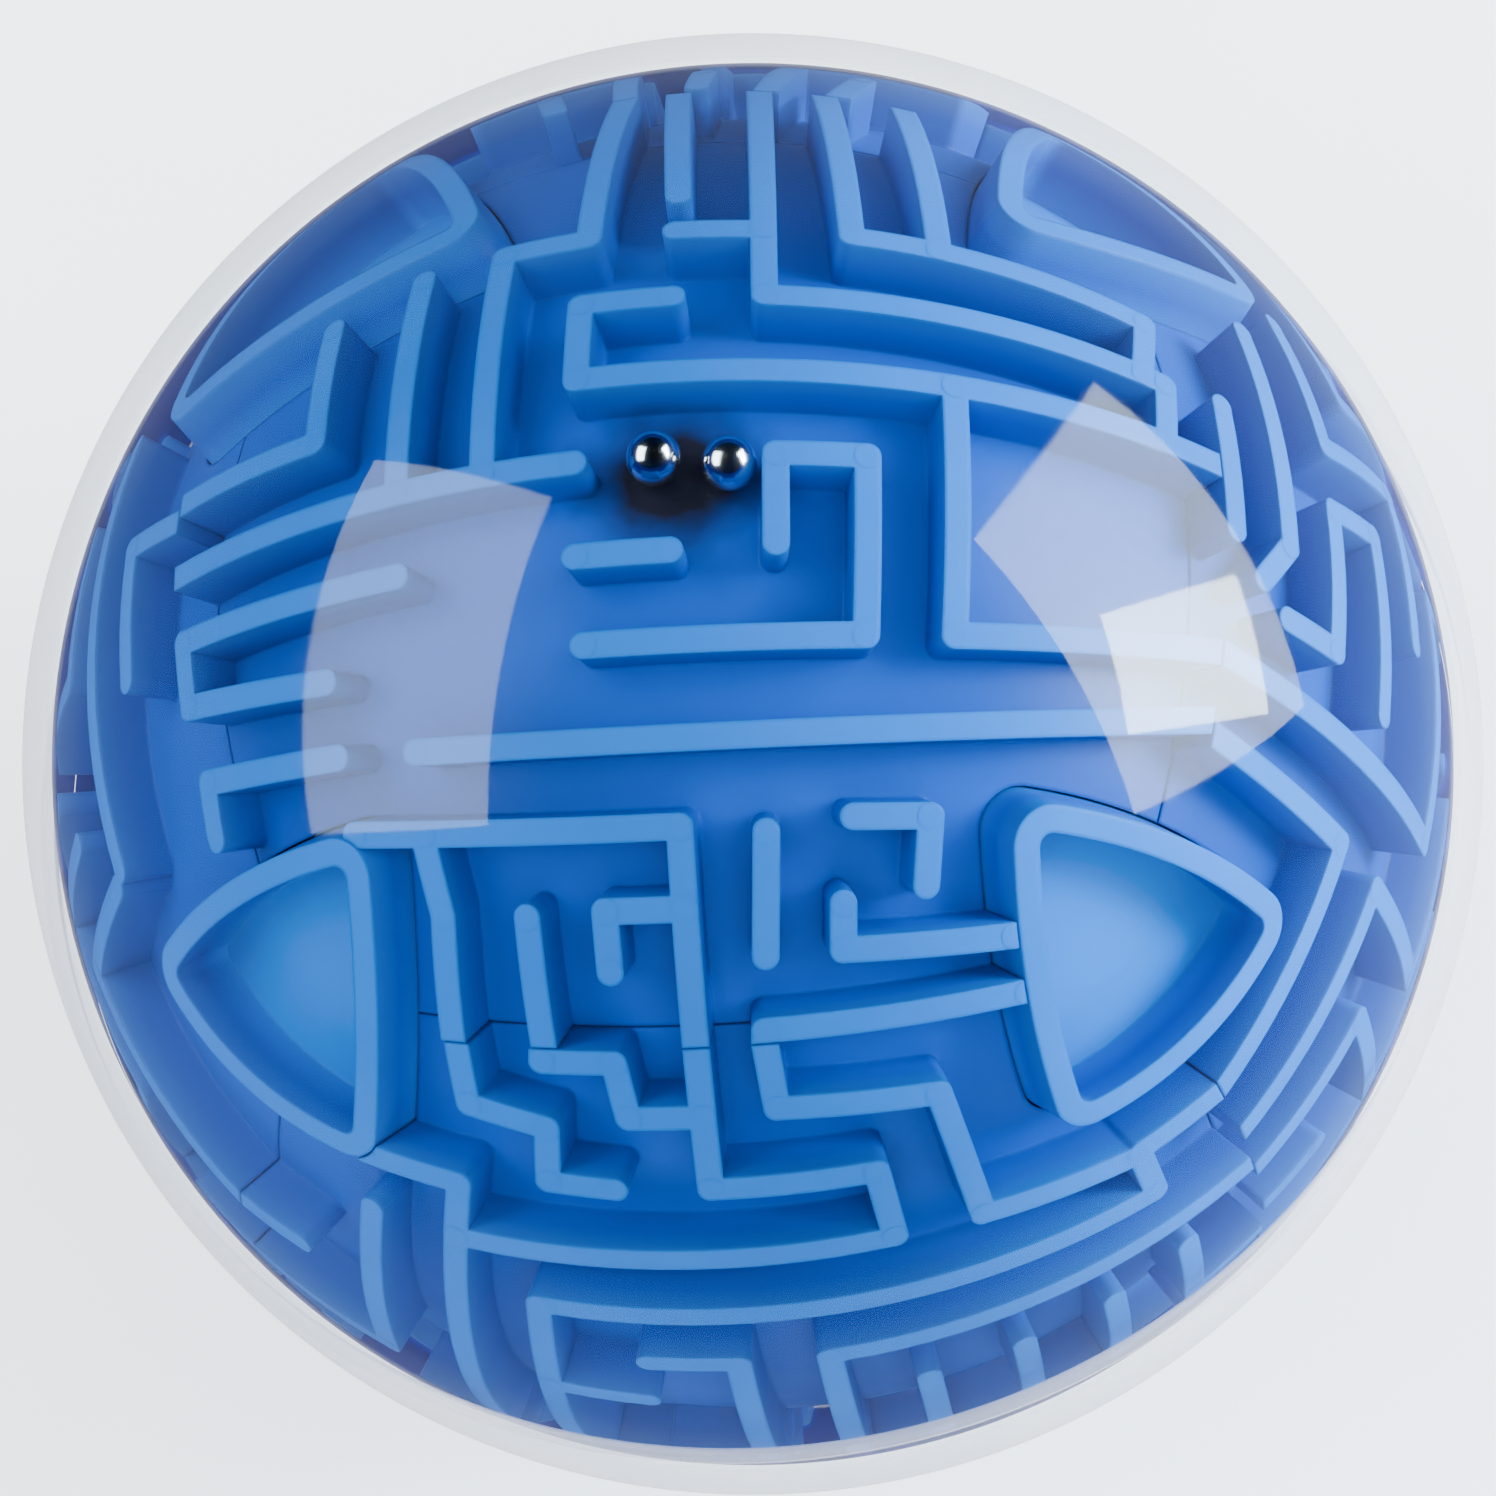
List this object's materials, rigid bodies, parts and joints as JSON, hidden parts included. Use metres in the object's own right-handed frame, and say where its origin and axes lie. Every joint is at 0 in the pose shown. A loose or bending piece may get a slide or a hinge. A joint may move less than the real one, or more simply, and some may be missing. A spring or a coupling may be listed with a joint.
{
  "type": "spherical maze puzzle",
  "caption": "Clear globe shutting in a blue spherical maze: turning it by hand rolls small steel balls along channels between raised ridges and past three-cornered pockets.",
  "frame": {"origin": "centre of the globe", "axes": "+Z out of the maze face where the balls rest, +X to the player's right, +Y away from the player; the globe's seam lies at z = 0"},
  "size_m": [0.1, 0.1, 0.1],
  "materials": {
    "clear_shell": "clear polished plastic",
    "maze_blue": "satin moulded",
    "cup_blue": "satin moulded",
    "carrier_plastic": "matte moulded",
    "screw_steel": "plated",
    "ball_steel": "mirror polished"
  },
  "bodies": {
    "globe": {"shell_top": "clear_shell", "shell_bottom": "clear_shell", "carrier_top": "carrier_plastic", "carrier_bottom": "carrier_plastic", "carrier_screws": "screw_steel", "maze_tile_top": "maze_blue", "maze_tile_bottom": "maze_blue", "maze_tile_front": "maze_blue", "maze_tile_back": "maze_blue", "maze_tile_left": "maze_blue", "maze_tile_right": "maze_blue", "corner_cup_upper_front_left": "cup_blue", "corner_cup_upper_front_right": "cup_blue", "corner_cup_upper_back_left": "cup_blue", "corner_cup_upper_back_right": "cup_blue", "corner_cup_lower_front_left": "cup_blue", "corner_cup_lower_front_right": "cup_blue", "corner_cup_lower_back_left": "cup_blue", "corner_cup_lower_back_right": "cup_blue"},
    "ball_left": {"steel_ball_left": "ball_steel"},
    "ball_right": {"steel_ball_right": "ball_steel"}
  },
  "joints": [
    {"name": "left_ball_roll", "type": "hinge", "parent": "globe", "child": "ball_left", "pos_m": [0, 0, 0], "axis": [-0.9997, 0, -0.0244], "range_deg": [-4.7, 2.8]},
    {"name": "right_ball_roll", "type": "hinge", "parent": "globe", "child": "ball_right", "pos_m": [0, 0, 0], "axis": [-0.9971, 0, 0.0767], "range_deg": [-11, 3.6]}
  ]
}
